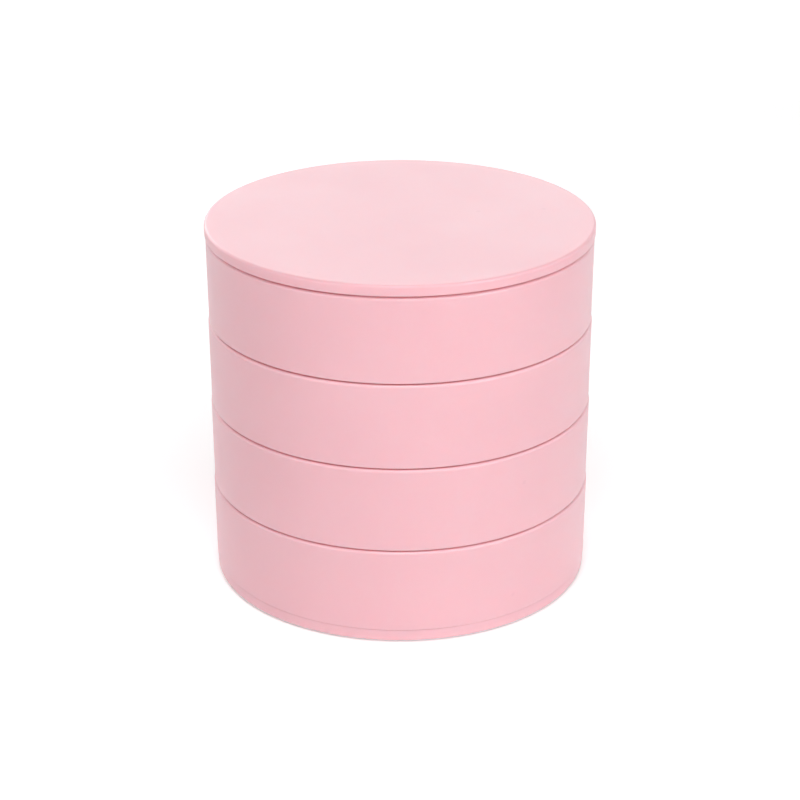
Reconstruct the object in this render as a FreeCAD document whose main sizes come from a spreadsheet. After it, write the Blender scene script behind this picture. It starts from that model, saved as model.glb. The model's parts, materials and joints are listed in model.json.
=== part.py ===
import FreeCAD, Part
import math
import os
import Sketcher
from FreeCAD import Placement, Rotation, Vector

# Swivel jewelry box: three round trays and a flat lid turn about one upright bolt near the rim,
# over a fixed bottom tray. Millimetres. +Z is up, the origin is the middle of the footprint,
# -Y is the front, and the bolt stands at the back, on the +Y side.

# Driving dimensions
SIZES = {
    # outer form
    "tray_radius": 52.25,
    "tray_draft": 0.2,
    "tray_height": 23.15,
    "layer_gap": 0.4,
    "lid_overhang": 0.25,
    "lid_thickness": 2.9,
    "lid_edge_round": 0.8,
    "lid_lower_chamfer": 0.25,
    "cover_inset": 0.19,
    "cover_band_height": 3.3,
    # tray moulding
    "tray_wall": 2.0,
    "tray_floor": 1.8,
    "tray_under_recess": 0.8,
    "foot_land": 2.4,
    "rim_chamfer": 0.4,
    "floor_corner": 1.6,
    # pivot
    "pivot_inset": 8.05,
    "pillar_wall": 1.7,
    "bolt_radius": 2.5,
    "bolt_running_clearance": 0.08,
    "bolt_thread_step": 0.4,
    "bolt_shoulder_gap": 0.3,
    "bolt_tip_gap": 0.6,
    "bolt_head_radius": 4.75,
    "bolt_head_height": 3.4,
    "bolt_head_chamfer": 0.8,
    "bolt_key_radius": 1.75,
    "bolt_key_depth": 2.0,
    "bolt_head_room": 0.6,
    "washer_radius": 5.5,
    "washer_thickness": 1.0,
    "washer_clearance": 0.1,
    "spring_radius": 5.2,
    "spring_sheet": 0.4,
    "spring_wave": 0.7,
    "spacer_inset": 0.3,
    "seat_clearance": 0.02,
    # lid underside
    "lid_rim_land": 4.5,
    "lid_recess_depth": 0.9,
    "lid_pivot_land_margin": 0.5,
    "lid_boss_wall": 1.28,
    "lid_boss_length": 8.0,
    "lid_boss_clearance": 0.3,
    "insert_wall": 1.07,
    "insert_length": 7.0,
    "insert_groove": 0.4,
    "insert_band": 2.2,
    "insert_thread_clearance": 0.03,
    # base housing
    "base_hollow": 5.6,
    "skirt_thickness": 2.2,
    "cover_plate": 2.0,
    "cover_edge_chamfer": 0.5,
    "cover_seam_chamfer": 0.2,
    "spigot_height": 1.6,
    "spigot_thickness": 1.5,
    "spigot_clearance": 0.2,
    "screw_boss_radius": 3.2,
    "screw_boss_web": 1.2,
    "screw_circle_inset": 19.05,
    "screw_radius": 1.3,
    "screw_length": 6.8,
    "screw_head_radius": 2.5,
    "screw_hole_clearance": 0.15,
    "screw_grip_clearance": 0.03,
    "screw_tip_room": 0.8,
    "pad_circle_inset": 8.36,
    "pad_radius": 4.5,
    "pad_recess": 0.8,
    "pad_stand": 0.6,
    "pad_edge_chamfer": 0.3,
    "pad_clearance": 0.15,
    # loose dividers
    "divider_thickness": 1.2,
    "divider_top_room": 3.55,
    "divider_clearance": 0.2,
    "divider_corner": 2.2,
    "guide_width": 1.2,
    "guide_depth": 1.8,
    "guide_step_down": 3.0,
    "hook_depth": 5.0,
    "ring_bay_back": 8.0,
    "stud_wall_place": -2.0,
    "stud_cross_place": 17.0,
    "bangle_wall_place": 10.0,
    # ring rolls
    "roll_front_room": 5.25,
    "roll_end_chamfer": 2.2,
    "soft_gap": 0.3,
}

# Counts and directions, which don't stretch
SCREW_COUNT = 4
PAD_COUNT = 4
ROLL_COUNT = 4
SPRING_WAVES = 3
SPRING_POINTS_PER_WAVE = 8
KEY_SIDES = 6
FULL_TURN = 360
DIAGONAL = 45
EMBED = 0.5                     # how far the root of a rib or boss runs into what carries it
SAME_PLACE = 1e-4               # two radii or heights nearer than this are one

doc = FreeCAD.newDocument("swivel_jewelry_box")
sheet = doc.addObject("Spreadsheet::Sheet", "Sizes")
for row, (alias, number) in enumerate(SIZES.items(), start=1):
    sheet.set(f"A{row}", alias)
    sheet.set(f"B{row}", str(number))
    sheet.setAlias(f"B{row}", alias)
doc.recompute()


class Length:
    """A length that knows its number and the sheet formula that drives it."""

    def __init__(self, number, formula):
        self.number = number
        self.formula = formula

    @staticmethod
    def of(value):
        return value if isinstance(value, Length) else Length(float(value), f"({value})")

    def __add__(self, other):
        other = Length.of(other)
        return Length(self.number + other.number, f"({self.formula} + {other.formula})")

    def __sub__(self, other):
        other = Length.of(other)
        return Length(self.number - other.number, f"({self.formula} - {other.formula})")

    def __mul__(self, other):
        other = Length.of(other)
        return Length(self.number * other.number, f"({self.formula} * {other.formula})")

    def __truediv__(self, other):
        other = Length.of(other)
        return Length(self.number / other.number, f"({self.formula} / {other.formula})")

    def __neg__(self):
        return Length(-self.number, f"(0 - {self.formula})")

    def __abs__(self):
        return Length(abs(self.number), f"abs({self.formula})")


def size(alias):
    return Length(SIZES[alias], f"Sizes.{alias}")


def half_chord(radius, distance):
    """Half the chord of a circle at a distance from its centre."""
    squares = radius * radius - distance * distance
    return Length(math.sqrt(squares.number), f"sqrt({squares.formula})")


def bind(thing, prop, value):
    thing.setExpression(prop, Length.of(value).formula)


# Heights of the layers above the surface that the pads stand on
cover_level = size("pad_stand")
bottom_tray_level = cover_level + size("cover_band_height")
layer_pitch = size("tray_height") + size("layer_gap")
tray_3_level = bottom_tray_level + layer_pitch
tray_2_level = tray_3_level + layer_pitch
tray_1_level = tray_2_level + layer_pitch
lid_level = tray_1_level + layer_pitch

# The stack under the bottom tray's pillar, from the spring down to the bolt's head
spring_height = size("spring_sheet") + size("spring_wave")
spring_level = bottom_tray_level + size("base_hollow") - spring_height - size("seat_clearance")
washer_level = spring_level - size("washer_thickness") - size("seat_clearance")
bolt_level = washer_level - size("bolt_head_height")

# Radii of the pivot, from the bolt's thread outwards to the pillar
bolt_bore_radius = size("bolt_radius") + size("bolt_running_clearance")
bolt_thread_radius = size("bolt_radius") - size("bolt_thread_step")
insert_bore_radius = bolt_thread_radius + size("insert_thread_clearance")
insert_radius = insert_bore_radius + size("insert_wall")
insert_seat_radius = insert_radius + size("seat_clearance")
lid_boss_radius = insert_seat_radius + size("lid_boss_wall")
lid_boss_seat_radius = lid_boss_radius + size("lid_boss_clearance")
pillar_radius = lid_boss_seat_radius + size("pillar_wall")

# Radii and distances from the middle
tray_foot_radius = size("tray_radius") - size("tray_draft")
lid_radius = size("tray_radius") + size("lid_overhang")
cover_radius = tray_foot_radius - size("cover_inset")
inner_rim_radius = size("tray_radius") - size("tray_wall")
inner_floor_radius = tray_foot_radius - size("tray_wall")
skirt_inside_radius = tray_foot_radius - size("skirt_thickness")
pivot_distance = tray_foot_radius - size("pivot_inset")
pillar_front = pivot_distance - pillar_radius
screw_circle_radius = tray_foot_radius - size("screw_circle_inset")
pad_circle_radius = cover_radius - size("pad_circle_inset")

# Lengths that several pieces share
tray_floor_top = size("tray_under_recess") + size("tray_floor")
base_floor_top = size("base_hollow") + size("tray_floor")
divider_height = size("tray_height") - tray_floor_top - size("divider_top_room")
guide_height = divider_height - size("guide_step_down")
divider_half_slot = size("divider_thickness") / 2 + size("divider_clearance")
guide_reach = divider_half_slot + size("guide_width")


# Drawing steps that every piece uses
def new_body(name):
    body = doc.addObject("PartDesign::Body", name)
    body.Label = name
    return body


def origin_item(body, role):
    return next(item for item in body.Origin.OriginFeatures if item.Role == role)


def new_sketch(body, name, plane="XY_Plane", lift=0, turn=0):
    sketch = body.newObject("Sketcher::SketchObject", name)
    sketch.AttachmentSupport = [(origin_item(body, plane), "")]
    sketch.MapMode = "FlatFace"
    sketch.AttachmentOffset = Placement(Vector(0, 0, 0), Rotation(Vector(0, 0, 1), turn))
    bind(sketch, "AttachmentOffset.Base.z", lift)
    return sketch


def hold_point(sketch, element, point, x, y):
    """Hold one point of a sketch element at x, y from the sketch's origin."""
    for kind, value in (("DistanceX", x), ("DistanceY", y)):
        index = sketch.addConstraint(Sketcher.Constraint(kind, -1, 1, element, point, value.number))
        sketch.setExpression(f"Constraints[{index}]", value.formula)


def draw_outline(sketch, corners):
    """A closed outline of straight sides through corners given as (x, y)."""
    corners = [(Length.of(x), Length.of(y)) for x, y in corners]
    places = [Vector(x.number, y.number, 0) for x, y in corners]
    first = sketch.GeometryCount
    count = len(places)
    for i in range(count):
        sketch.addGeometry(Part.LineSegment(places[i], places[(i + 1) % count]), False)
    for i in range(count):
        following = first + (i + 1) % count
        sketch.addConstraint(Sketcher.Constraint("Coincident", first + i, 2, following, 1))
    for i, (x, y) in enumerate(corners):
        hold_point(sketch, first + i, 1, x, y)


def draw_rectangle(sketch, x_ends, y_ends):
    left, right = x_ends
    low, high = y_ends
    draw_outline(sketch, [(left, low), (right, low), (right, high), (left, high)])


def draw_circle(sketch, x, y, radius):
    x, y = Length.of(x), Length.of(y)
    circle = Part.Circle(Vector(x.number, y.number, 0), Vector(0, 0, 1), radius.number)
    element = sketch.addGeometry(circle, False)
    hold_point(sketch, element, 3, x, y)
    index = sketch.addConstraint(Sketcher.Constraint("Radius", element, radius.number))
    sketch.setExpression(f"Constraints[{index}]", radius.formula)


def revolve(body, name, sketch):
    turned = body.newObject("PartDesign::Revolution", name)
    turned.Profile = sketch
    turned.ReferenceAxis = (sketch, ["V_Axis"])
    turned.Angle = FULL_TURN
    doc.recompute()
    return turned


def pad(body, name, sketch, length, downwards=False, both_ways=False):
    raised = body.newObject("PartDesign::Pad", name)
    raised.Profile = sketch
    raised.Reversed = downwards
    raised.Midplane = both_ways
    bind(raised, "Length", length)
    doc.recompute()
    return raised


def pocket(body, name, sketch, depth=None, upwards=False, both_ways=False):
    """Cut a sketch into the body, all the way through where no depth is given."""
    before = body.Shape.Volume
    cut = body.newObject("PartDesign::Pocket", name)
    cut.Profile = sketch
    cut.Reversed = upwards
    cut.Midplane = both_ways
    if depth is None:
        cut.Type = "ThroughAll"
    else:
        bind(cut, "Length", depth)
    doc.recompute()
    if not body.Shape.Volume < before:
        raise RuntimeError(f"{name} cuts nothing from {body.Label}")
    return cut


def level_circles(shape, radius, height):
    """Names of the shape's edges on a level circle of this radius and height."""
    names = []
    for number, edge in enumerate(shape.Edges, start=1):
        curve = edge.Curve
        if not isinstance(curve, Part.Circle):
            continue
        same_radius = abs(curve.Radius - radius.number) < SAME_PLACE
        same_height = abs(curve.Center.z - height.number) < SAME_PLACE
        if same_radius and same_height:
            names.append(f"Edge{number}")
    return names


def dress_circles(body, kind, amount_name, name, radius, height, amount):
    base = body.Tip
    edges = level_circles(base.Shape, Length.of(radius), Length.of(height))
    if not edges:
        raise RuntimeError(f"{name} finds no edge on {body.Label}")
    dressed = body.newObject(kind, name)
    dressed.Base = (base, edges)
    bind(dressed, amount_name, amount)
    doc.recompute()
    return dressed


def round_circles(body, name, radius, height, amount):
    return dress_circles(body, "PartDesign::Fillet", "Radius", name, radius, height, amount)


def chamfer_circles(body, name, radius, height, amount):
    return dress_circles(body, "PartDesign::Chamfer", "Size", name, radius, height, amount)


def place(piece, x=0, y=0, z=0, turn=0):
    piece.Placement = Placement(Vector(0, 0, 0), Rotation(Vector(0, 0, 1), turn))
    bind(piece, "Placement.Base.x", x)
    bind(piece, "Placement.Base.y", y)
    bind(piece, "Placement.Base.z", z)
    doc.recompute()


def diagonal_places(radius, count):
    """Places evenly round a circle, the first one on the diagonal."""
    for i in range(count):
        angle = math.radians(DIAGONAL + FULL_TURN * i / count)
        yield radius * math.cos(angle), radius * math.sin(angle)


def ordered(first, second):
    """Two lengths as a low and a high end."""
    return (first, second) if first.number < second.number else (second, first)


# Trays
def tray_bowl(body, hollow, foot, inside_floor):
    """Turned wall and floor: drafted wall, eased rim, and a hollow under the floor."""
    profile = new_sketch(body, "wall_and_floor_profile", "XZ_Plane")
    hollow_radius = tray_foot_radius - foot
    draw_outline(profile, [
        (0, hollow),
        (hollow_radius, hollow),
        (hollow_radius, 0),
        (tray_foot_radius, 0),
        (size("tray_radius"), size("tray_height")),
        (inner_rim_radius, size("tray_height")),
        (inner_floor_radius, inside_floor),
        (0, inside_floor),
    ])
    revolve(body, "wall_and_floor", profile)
    top = size("tray_height")
    chamfer_circles(body, "outer_rim", size("tray_radius"), top, size("rim_chamfer"))
    chamfer_circles(body, "inner_rim", inner_rim_radius, top, size("rim_chamfer"))
    chamfer_circles(body, "floor_corner", inner_floor_radius, inside_floor, size("floor_corner"))


def pivot_pillar(body, low):
    """Round pillar with a web to the wall behind it, bored for the bolt."""
    length = size("tray_height") - low
    column = new_sketch(body, "pillar_circle", lift=low)
    draw_circle(column, 0, pivot_distance, pillar_radius)
    pad(body, "pillar", column, length)
    web = new_sketch(body, "pillar_web_outline", lift=low)
    web_back = half_chord(inner_floor_radius, pillar_radius) + EMBED
    draw_rectangle(web, (-pillar_radius, pillar_radius), (pivot_distance, web_back))
    pad(body, "pillar_web", web, length)
    bore = new_sketch(body, "bolt_bore_circle", lift=low)
    draw_circle(bore, 0, pivot_distance, bolt_bore_radius)
    pocket(body, "bolt_bore", bore, upwards=True)


def draw_guides(sketch, lengthways, across, slot_end, root):
    """Two ribs from root to slot_end that hold the end of a divider lying along x or y."""
    run = ordered(slot_end, root)
    for side in (-1, 1):
        width = ordered(across + divider_half_slot * side, across + guide_reach * side)
        if lengthways == "x":
            draw_rectangle(sketch, run, width)
        else:
            draw_rectangle(sketch, width, run)


def draw_wall_guides(sketch, lengthways, across, sides):
    """Guides on the inside of the wall, at the named ends of a divider."""
    wall = half_chord(inner_floor_radius, abs(across) + guide_reach)
    for side in sides:
        slot_end = (wall - size("guide_depth")) * side
        draw_guides(sketch, lengthways, across, slot_end, (wall + EMBED) * side)


def swivel_tray(name, level, draw_all_guides):
    body = new_body(name)
    tray_bowl(body, size("tray_under_recess"), size("foot_land"), tray_floor_top)
    guides = new_sketch(body, "guide_outlines", lift=tray_floor_top - EMBED)
    draw_all_guides(guides)
    pad(body, "guides", guides, guide_height + EMBED)
    pivot_pillar(body, Length.of(0))
    place(body, z=level)
    return body


def ring_tray():
    """Top tray: a ring bay in front and two cells behind, with a seat for the lid's boss."""
    def guides(sketch):
        draw_wall_guides(sketch, "x", size("ring_bay_back"), (-1, 1))
        middle = Length.of(0)
        draw_guides(sketch, "y", middle, pillar_front - size("guide_depth"), pillar_front + EMBED)

    body = swivel_tray("tray_1_shell", tray_1_level, guides)
    seat = new_sketch(body, "lid_boss_seat_circle", lift=size("tray_height"))
    draw_circle(seat, 0, pivot_distance, lid_boss_seat_radius)
    seat_depth = size("lid_boss_length") - size("layer_gap") + size("lid_boss_clearance")
    pocket(body, "lid_boss_seat", seat, seat_depth)
    return body


def stud_tray():
    """Second tray: six cells."""
    def guides(sketch):
        draw_wall_guides(sketch, "x", size("stud_wall_place"), (-1, 1))
        draw_wall_guides(sketch, "y", -size("stud_cross_place"), (-1, 1))
        draw_wall_guides(sketch, "y", size("stud_cross_place"), (-1, 1))

    return swivel_tray("tray_2_shell", tray_2_level, guides)


def bangle_tray():
    """Third tray: one wide cell behind and two in front."""
    def guides(sketch):
        draw_wall_guides(sketch, "x", size("bangle_wall_place"), (-1, 1))
        draw_wall_guides(sketch, "y", Length.of(0), (-1,))

    return swivel_tray("tray_3_shell", tray_3_level, guides)


def bottom_tray():
    """Fixed tray. The bolt's head, its washers and the screw bosses are under its floor."""
    body = new_body("bottom_tray")
    tray_bowl(body, size("base_hollow"), size("skirt_thickness"), base_floor_top)
    root = size("base_hollow") + EMBED
    boss_foot = size("cover_plate") - size("cover_band_height")
    webs = new_sketch(body, "boss_web_outlines", lift=root, turn=DIAGONAL)
    half_web = size("screw_boss_web") / 2
    skirt_side = skirt_inside_radius + EMBED
    for side in (-1, 1):
        reach = ordered(screw_circle_radius * side, skirt_side * side)
        draw_rectangle(webs, reach, (-half_web, half_web))
        draw_rectangle(webs, (-half_web, half_web), reach)
    web_height = size("base_hollow") - size("spigot_height") - size("spigot_clearance")
    pad(body, "boss_webs", webs, web_height + EMBED, downwards=True)
    bosses = new_sketch(body, "screw_boss_circles", lift=root)
    pilots = new_sketch(body, "screw_pilot_circles", lift=boss_foot)
    for x, y in diagonal_places(screw_circle_radius, SCREW_COUNT):
        draw_circle(bosses, x, y, size("screw_boss_radius"))
        draw_circle(pilots, x, y, size("screw_radius") + size("screw_grip_clearance"))
    pad(body, "screw_bosses", bosses, root - boss_foot, downwards=True)
    pilot_depth = size("screw_length") - size("cover_plate") + size("screw_tip_room")
    pocket(body, "screw_pilots", pilots, pilot_depth, upwards=True)
    pivot_pillar(body, size("base_hollow"))
    place(body, z=bottom_tray_level)
    return body


# Base cover and its hardware
def base_cover():
    """Plate that closes the hollow, with a spigot into the skirt and seats for pads and screws."""
    body = new_body("base_cover")
    profile = new_sketch(body, "cover_profile", "XZ_Plane")
    spigot_radius = skirt_inside_radius - size("spigot_clearance")
    spigot_inside = spigot_radius - size("spigot_thickness")
    spigot_top = size("cover_band_height") + size("spigot_height")
    draw_outline(profile, [
        (0, 0),
        (cover_radius, 0),
        (cover_radius, size("cover_band_height")),
        (spigot_radius, size("cover_band_height")),
        (spigot_radius, spigot_top),
        (spigot_inside, spigot_top),
        (spigot_inside, size("cover_plate")),
        (0, size("cover_plate")),
    ])
    revolve(body, "cover_plate_and_spigot", profile)
    chamfer_circles(body, "lower_edge", cover_radius, 0, size("cover_edge_chamfer"))
    chamfer_circles(body, "seam_edge", cover_radius, size("cover_band_height"),
                    size("cover_seam_chamfer"))
    screw_holes = new_sketch(body, "screw_hole_circles")
    hole_radius = size("screw_radius") + size("screw_hole_clearance")
    for x, y in diagonal_places(screw_circle_radius, SCREW_COUNT):
        draw_circle(screw_holes, x, y, hole_radius)
    pocket(body, "screw_holes", screw_holes, upwards=True)
    countersink = size("screw_head_radius") - size("screw_radius")
    chamfer_circles(body, "countersinks", hole_radius, 0, countersink)
    pad_seats = new_sketch(body, "pad_seat_circles")
    for x, y in diagonal_places(pad_circle_radius, PAD_COUNT):
        draw_circle(pad_seats, x, y, size("pad_radius") + size("pad_clearance"))
    pocket(body, "pad_seats", pad_seats, size("pad_recess"), upwards=True)
    head_room = new_sketch(body, "bolt_head_room_circle", lift=size("cover_plate"))
    draw_circle(head_room, 0, pivot_distance, size("bolt_head_radius") + size("bolt_head_room"))
    pocket(body, "bolt_head_room", head_room, upwards=True)
    place(body, z=cover_level)
    return body


def cover_screws():
    """Countersunk screws, one group."""
    body = new_body("base_cover_screws")
    profile = new_sketch(body, "screw_profile", "XZ_Plane")
    middle = screw_circle_radius
    head_depth = size("screw_head_radius") - size("screw_radius")
    draw_outline(profile, [
        (middle, 0),
        (middle + size("screw_head_radius"), 0),
        (middle + size("screw_radius"), head_depth),
        (middle + size("screw_radius"), size("screw_length") - size("screw_radius")),
        (middle, size("screw_length")),
    ])
    axis_low = Vector(middle.number, 0, 0)
    axis_high = Vector(middle.number, size("screw_length").number, 0)
    axis = profile.addGeometry(Part.LineSegment(axis_low, axis_high), True)
    hold_point(profile, axis, 1, middle, Length.of(0))
    hold_point(profile, axis, 2, middle, size("screw_length"))
    screw = body.newObject("PartDesign::Revolution", "screw")
    screw.Profile = profile
    screw.ReferenceAxis = (profile, ["Axis0"])
    screw.Angle = FULL_TURN
    doc.recompute()
    ring = body.newObject("PartDesign::PolarPattern", "ring_of_screws")
    ring.Originals = [screw]
    ring.Axis = (origin_item(body, "Z_Axis"), [""])
    ring.Angle = FULL_TURN
    ring.Occurrences = SCREW_COUNT
    body.Tip = ring
    place(body, z=cover_level, turn=DIAGONAL)
    return body


def foot_pads():
    pads = []
    places = diagonal_places(pad_circle_radius, PAD_COUNT)
    for number, (x, y) in enumerate(places, start=1):
        body = new_body(f"foot_pad_{number}")
        outline = new_sketch(body, "pad_circle")
        draw_circle(outline, 0, 0, size("pad_radius"))
        pad(body, "pad_disc", outline, size("pad_stand") + size("pad_recess"))
        chamfer_circles(body, "pad_edge", size("pad_radius"), 0, size("pad_edge_chamfer"))
        place(body, x=x, y=y)
        pads.append(body)
    return pads


# Pivot hardware
def flat_ring(name, inner, outer, thickness, level):
    body = new_body(name)
    outline = new_sketch(body, "ring_outline")
    draw_circle(outline, 0, 0, outer)
    draw_circle(outline, 0, 0, inner)
    pad(body, "ring", outline, thickness)
    place(body, y=pivot_distance, z=level)
    return body


def spacers():
    """Thin slip rings on the pillars. They set the seam between two layers."""
    outer = pillar_radius - size("spacer_inset")
    around_bolt = size("bolt_radius") + size("washer_clearance")
    above_pillar = size("tray_height")
    thickness = size("layer_gap")
    return [
        flat_ring("spacer_1", lid_boss_seat_radius, outer, thickness, tray_1_level + above_pillar),
        flat_ring("spacer_2", around_bolt, outer, thickness, tray_2_level + above_pillar),
        flat_ring("spacer_3", around_bolt, outer, thickness, tray_3_level + above_pillar),
        flat_ring("spacer_4", around_bolt, outer, thickness, bottom_tray_level + above_pillar),
    ]


def wave_loop(radius, amplitude):
    """One closed curve that rises and falls evenly round the ring."""
    points = []
    count = SPRING_WAVES * SPRING_POINTS_PER_WAVE
    for i in range(count):
        angle = 2 * math.pi * i / count
        rise = amplitude * math.cos(SPRING_WAVES * angle)
        points.append(Vector(radius * math.cos(angle), radius * math.sin(angle), rise))
    curve = Part.BSplineCurve()
    curve.interpolate(Points=points, PeriodicFlag=True)
    return curve.toShape()


def wave_spring():
    """Wave washer that presses the layers together and holds them where they are turned to."""
    amplitude = size("spring_wave").number / 2
    inner = size("bolt_radius").number + size("washer_clearance").number
    sheet_face = Part.makeRuledSurface(wave_loop(inner, amplitude),
                                       wave_loop(size("spring_radius").number, amplitude))
    spring = doc.addObject("Part::Feature", "wave_spring")
    spring.Label = "wave_spring"
    spring.Shape = sheet_face.extrude(Vector(0, 0, size("spring_sheet").number))
    place(spring, y=pivot_distance, z=spring_level + size("spring_wave") / 2)
    return spring


def pivot_bolt():
    """Long bolt from below, locked in the lid's insert, so it turns with the lid."""
    body = new_body("pivot_bolt")
    boss_foot = lid_level - size("lid_boss_length") - bolt_level
    shoulder = boss_foot - size("bolt_shoulder_gap")
    tip = boss_foot + size("insert_length") - size("bolt_tip_gap")
    profile = new_sketch(body, "bolt_profile", "XZ_Plane")
    draw_outline(profile, [
        (0, 0),
        (size("bolt_head_radius"), 0),
        (size("bolt_head_radius"), size("bolt_head_height")),
        (size("bolt_radius"), size("bolt_head_height")),
        (size("bolt_radius"), shoulder),
        (bolt_thread_radius, shoulder),
        (bolt_thread_radius, tip),
        (0, tip),
    ])
    revolve(body, "bolt_blank", profile)
    chamfer_circles(body, "head_edge", size("bolt_head_radius"), 0, size("bolt_head_chamfer"))
    key = new_sketch(body, "key_outline")
    key_radius = size("bolt_key_radius")
    corners = []
    for i in range(KEY_SIDES):
        angle = 2 * math.pi * i / KEY_SIDES
        corners.append((key_radius * math.cos(angle), key_radius * math.sin(angle)))
    draw_outline(key, corners)
    pocket(body, "key_socket", key, size("bolt_key_depth"), upwards=True)
    place(body, y=pivot_distance, z=bolt_level)
    return body


def lid_insert():
    """Brass thread insert in the lid's boss, with a grip groove round it."""
    body = new_body("lid_insert")
    inner = insert_bore_radius
    groove = insert_radius - size("insert_groove")
    profile = new_sketch(body, "insert_profile", "XZ_Plane")
    draw_outline(profile, [
        (inner, 0),
        (insert_radius, 0),
        (insert_radius, size("insert_band")),
        (groove, size("insert_band")),
        (groove, size("insert_length") - size("insert_band")),
        (insert_radius, size("insert_length") - size("insert_band")),
        (insert_radius, size("insert_length")),
        (inner, size("insert_length")),
    ])
    revolve(body, "insert", profile)
    place(body, y=pivot_distance, z=lid_level - size("lid_boss_length"))
    return body


# Lid
def lid_cover():
    """Flat disc, cored out underneath, with the boss that turns in the top tray's pillar."""
    body = new_body("lid_cover")
    core_radius = lid_radius - size("lid_rim_land")
    profile = new_sketch(body, "disc_profile", "XZ_Plane")
    draw_outline(profile, [
        (0, size("lid_recess_depth")),
        (core_radius, size("lid_recess_depth")),
        (core_radius, 0),
        (lid_radius, 0),
        (lid_radius, size("lid_thickness")),
        (0, size("lid_thickness")),
    ])
    revolve(body, "disc", profile)
    round_circles(body, "upper_edge", lid_radius, size("lid_thickness"), size("lid_edge_round"))
    chamfer_circles(body, "lower_edge", lid_radius, 0, size("lid_lower_chamfer"))
    root = size("lid_recess_depth") + EMBED
    land = new_sketch(body, "pivot_land_circle", lift=root)
    draw_circle(land, 0, pivot_distance, pillar_radius + size("lid_pivot_land_margin"))
    pad(body, "pivot_land", land, root, downwards=True)
    boss = new_sketch(body, "boss_circle", lift=root)
    draw_circle(boss, 0, pivot_distance, lid_boss_radius)
    pad(body, "boss", boss, root + size("lid_boss_length"), downwards=True)
    seat = new_sketch(body, "insert_seat_circle", lift=-size("lid_boss_length"))
    draw_circle(seat, 0, pivot_distance, insert_seat_radius)
    pocket(body, "insert_seat", seat, size("insert_length"), upwards=True)
    place(body, z=lid_level)
    return body


# Loose dividers
def wall_to_wall(across):
    """Half the length of a divider that reaches the wall at both ends."""
    outer_side = abs(across) + size("divider_thickness") / 2
    return half_chord(inner_floor_radius, outer_side) - size("divider_clearance")


def full_divider(name, lengthways, across, level, notches, notch_from):
    """Plate from wall to wall, with half-depth notches where others cross it."""
    body = new_body(name)
    plane = "XZ_Plane" if lengthways == "x" else "YZ_Plane"
    half = wall_to_wall(across)
    corner = size("divider_corner")
    top = divider_height
    outline = new_sketch(body, "plate_outline", plane)
    draw_outline(outline, [
        (corner - half, 0),
        (half - corner, 0),
        (half, corner),
        (half, top),
        (-half, top),
        (-half, corner),
    ])
    pad(body, "plate", outline, size("divider_thickness"), both_ways=True)
    cuts = new_sketch(body, "notch_outlines", plane)
    for notch in notches:
        sides = (notch - divider_half_slot, notch + divider_half_slot)
        draw_rectangle(cuts, sides, notch_from)
    pocket(body, "notches", cuts, both_ways=True)
    if lengthways == "x":
        place(body, y=across, z=level)
    else:
        place(body, x=across, z=level)
    return body


def hooked_divider(name, full_plate, end, level, direction):
    """Plate at x = 0 from a full divider to the given end, hooked over the full divider."""
    body = new_body(name)
    near = full_plate + divider_half_slot * direction
    hook = full_plate - (divider_half_slot + size("divider_thickness")) * direction
    corner = size("divider_corner")
    top = divider_height
    hook_foot = top - size("hook_depth")
    outline = new_sketch(body, "plate_outline", "YZ_Plane")
    draw_outline(outline, [
        (near, 0),
        (end - corner * direction, 0),
        (end, corner),
        (end, top),
        (hook, top),
        (hook, hook_foot),
        (near, hook_foot),
    ])
    pad(body, "plate", outline, size("divider_thickness"), both_ways=True)
    place(body, z=level)
    return body


def dividers():
    top = divider_height
    above = top + EMBED
    middle = Length.of(0)
    hook_notch = (top - size("hook_depth") - size("divider_clearance"), above)
    upper_half = (top / 2 - size("divider_clearance") / 2, above)
    lower_half = (Length.of(-EMBED), top / 2 + size("divider_clearance") / 2)
    ring_level = tray_1_level + tray_floor_top
    stud_level = tray_2_level + tray_floor_top
    bangle_level = tray_3_level + tray_floor_top
    cross = size("stud_cross_place")
    stud_wall = size("stud_wall_place")
    pillar_end = pillar_front - size("divider_clearance")
    front_end = -wall_to_wall(middle)
    return [
        full_divider("ring_tray_wide_divider", "x", size("ring_bay_back"), ring_level, [middle], hook_notch),
        hooked_divider("ring_tray_short_divider", size("ring_bay_back"), pillar_end, ring_level, 1),
        full_divider("stud_tray_wide_divider", "x", stud_wall, stud_level, [-cross, cross], upper_half),
        full_divider("stud_tray_left_divider", "y", -cross, stud_level, [stud_wall], lower_half),
        full_divider("stud_tray_right_divider", "y", cross, stud_level, [stud_wall], lower_half),
        full_divider("bangle_tray_wide_divider", "x", size("bangle_wall_place"), bangle_level, [middle],
                     hook_notch),
        hooked_divider("bangle_tray_short_divider", size("bangle_wall_place"), front_end, bangle_level, -1),
    ]


# Soft ring rolls
def ring_rolls():
    """Soft rolls side by side in the ring bay, each as long as the round wall allows."""
    rolls = []
    bay_back = size("ring_bay_back") - guide_reach - size("soft_gap")
    bay_front = size("roll_front_room") - inner_floor_radius
    radius = (bay_back - bay_front - size("soft_gap") * (ROLL_COUNT - 1)) / (2 * ROLL_COUNT)
    pitch = radius * 2 + size("soft_gap")
    first = bay_back - radius
    height = tray_1_level + tray_floor_top + size("soft_gap") + radius
    for i in range(ROLL_COUNT):
        across = first - pitch * i
        half = half_chord(inner_floor_radius, abs(across) + radius) - size("soft_gap")
        body = new_body(f"ring_roll_{i + 1}")
        outline = new_sketch(body, "roll_circle", "YZ_Plane")
        draw_circle(outline, 0, 0, radius)
        roll = pad(body, "roll", outline, half * 2, both_ways=True)
        ends = body.newObject("PartDesign::Chamfer", "roll_ends")
        ends.Base = (roll, [f"Face{n}" for n, face in enumerate(roll.Shape.Faces, 1)
                            if isinstance(face.Surface, Part.Plane)])
        bind(ends, "Size", size("roll_end_chamfer"))
        place(body, y=across, z=height)
        rolls.append(body)
    return rolls


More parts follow.
